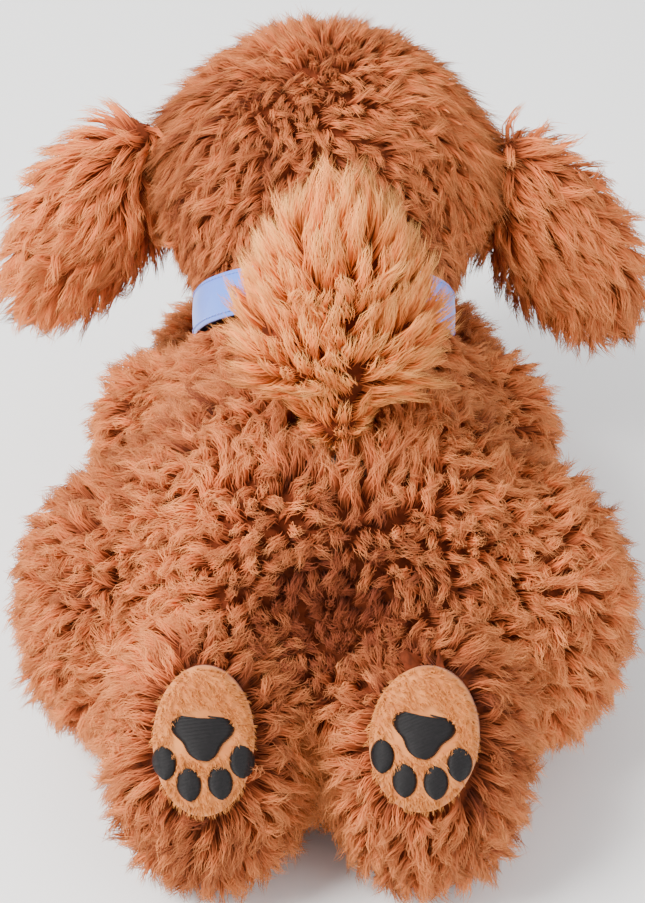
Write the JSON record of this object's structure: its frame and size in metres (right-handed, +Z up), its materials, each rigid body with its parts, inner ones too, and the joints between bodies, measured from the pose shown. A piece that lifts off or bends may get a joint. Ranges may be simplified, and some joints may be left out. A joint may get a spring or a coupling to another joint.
{
  "type": "interactive plush dog",
  "caption": "Plush dog lying on its belly, with a wagging tail, turning head, opening mouth, floppy ears, a turning collar and a battery case in its belly.",
  "frame": {"origin": "under the middle of the dog's bounding box, on the surface that it lies on", "axes": "+Z up, the dog faces -Y, +X is the dog's own left"},
  "size_m": [0.2332, 0.3194, 0.1973],
  "materials": {
    "fur": "curly cut pile, matt",
    "tail_fur": "long combed pile, matt",
    "stuffing": "loose fibre",
    "sole_fabric": "short velour with embroidery",
    "collar_satin": "smooth woven satin",
    "hem_fabric": "woven tape",
    "case_plastic": "fine spark texture",
    "light_plastic": "as moulded",
    "gear_plastic": "as moulded",
    "motor_steel": "plated can",
    "steel": "zinc plated",
    "battery_sleeve": "printed sleeve, left blank",
    "board": "solder mask",
    "speaker_black": "paper and plastic",
    "switch_grey": "as moulded",
    "gloss_black": "polished",
    "tongue_fabric": "felt"
  },
  "bodies": {
    "body": {"body_cover": "fur", "body_stuffing": "stuffing", "belly_hem": "hem_fabric", "hind_leg_left": "fur", "hind_leg_right": "fur", "hind_sole_left": "sole_fabric", "hind_sole_right": "sole_fabric", "front_leg_left": "fur", "front_leg_right": "fur", "case_lower": "case_plastic", "case_upper": "case_plastic", "battery_1": "battery_sleeve", "battery_2": "battery_sleeve", "battery_3": "battery_sleeve", "battery_spring_1": "steel", "battery_spring_2": "steel", "battery_spring_3": "steel", "battery_contact_left": "steel", "battery_contact_right": "steel", "control_board": "board", "speaker": "speaker_black", "power_switch_body": "switch_grey", "back_switch_cup": "light_plastic", "case_screw_1": "steel", "case_screw_2": "steel", "case_screw_3": "steel", "case_screw_4": "steel", "tail_pin": "steel", "tail_motor": "motor_steel", "neck_bearing": "gear_plastic", "neck_motor": "motor_steel"},
    "battery_door": {"battery_door": "case_plastic", "door_screw": "steel"},
    "power_switch": {"power_switch_slider": "case_plastic"},
    "back_button": {"back_switch_button": "gear_plastic"},
    "tail": {"tail_plush": "tail_fur", "tail_lever": "gear_plastic"},
    "tail_pinion": {"tail_pinion": "gear_plastic"},
    "neck_pinion": {"neck_pinion": "gear_plastic"},
    "head": {"neck_post": "gear_plastic", "skull_rear": "light_plastic", "skull_front": "light_plastic", "head_cover": "fur", "head_stuffing": "stuffing", "eye_left": "gloss_black", "eye_right": "gloss_black", "nose": "gloss_black", "jaw_motor": "motor_steel", "jaw_pin": "steel", "head_switch_cup": "light_plastic"},
    "head_button": {"head_switch_button": "gear_plastic"},
    "jaw": {"lower_jaw": "light_plastic", "chin_cover": "fur", "tongue": "tongue_fabric"},
    "jaw_pinion": {"jaw_pinion": "gear_plastic"},
    "ear_left": {"ear_left": "fur"},
    "ear_right": {"ear_right": "fur"},
    "collar": {"collar": "collar_satin"}
  },
  "joints": [
    {"name": "tail_wag", "type": "hinge", "parent": "body", "child": "tail", "pos_m": [-0.004, 0.066, 0.108], "axis": [0, 1, 0], "range_deg": [-25, 25]},
    {"name": "tail_pinion_spin", "type": "hinge", "parent": "body", "child": "tail_pinion", "pos_m": [-0.004, 0.066, 0.089], "axis": [0, 1, 0], "range_deg": [-95, 95]},
    {"name": "head_turn", "type": "hinge", "parent": "body", "child": "head", "pos_m": [0, -0.036, 0.096], "axis": [0, -0.7314, 0.682], "range_deg": [-20, 20]},
    {"name": "neck_pinion_spin", "type": "hinge", "parent": "body", "child": "neck_pinion", "pos_m": [0.019, -0.036, 0.096], "axis": [0, -0.7314, 0.682], "range_deg": [-76, 76]},
    {"name": "jaw_open", "type": "hinge", "parent": "head", "child": "jaw", "pos_m": [0, -0.092, 0.1], "axis": [1, 0, 0], "range_deg": [0, 18]},
    {"name": "jaw_pinion_spin", "type": "hinge", "parent": "head", "child": "jaw_pinion", "pos_m": [0, -0.08069, 0.11131], "axis": [1, 0, 0], "range_deg": [-55, 0]},
    {"name": "ear_left_flop", "type": "hinge", "parent": "head", "child": "ear_left", "pos_m": [0.057, -0.072, 0.15], "axis": [0, -1, 0], "range_deg": [0, 45], "stiffness_Nm_per_rad": 0.15, "springref_deg": 2.29},
    {"name": "ear_right_flop", "type": "hinge", "parent": "head", "child": "ear_right", "pos_m": [-0.057, -0.072, 0.143], "axis": [0, 1, 0], "range_deg": [0, 45], "stiffness_Nm_per_rad": 0.15, "springref_deg": 2.29},
    {"name": "collar_turn", "type": "hinge", "parent": "body", "child": "collar", "pos_m": [0, -0.036, 0.096], "axis": [0, -0.7314, 0.682], "range_deg": [-30, 30]},
    {"name": "power_switch_slide", "type": "slide", "parent": "body", "child": "power_switch", "axis": [0, 1, 0], "range_m": [0, 0.004]},
    {"name": "battery_door_open", "type": "hinge", "parent": "body", "child": "battery_door", "pos_m": [0, 0.0152, 0.003], "axis": [-1, 0, 0], "range_deg": [0, 60]},
    {"name": "back_button_press", "type": "slide", "parent": "body", "child": "back_button", "axis": [0, 0, -1], "range_m": [0, 0.0012], "stiffness_N_per_m": 400},
    {"name": "head_button_press", "type": "slide", "parent": "head", "child": "head_button", "axis": [0, 0, -1], "range_m": [0, 0.0012], "stiffness_N_per_m": 400}
  ],
  "couplings": [
    {"joint": "tail_pinion_spin", "follows": "tail_wag", "ratio": -3.75},
    {"joint": "neck_pinion_spin", "follows": "head_turn", "ratio": -3.75},
    {"joint": "jaw_pinion_spin", "follows": "jaw_open", "ratio": -3}
  ]
}
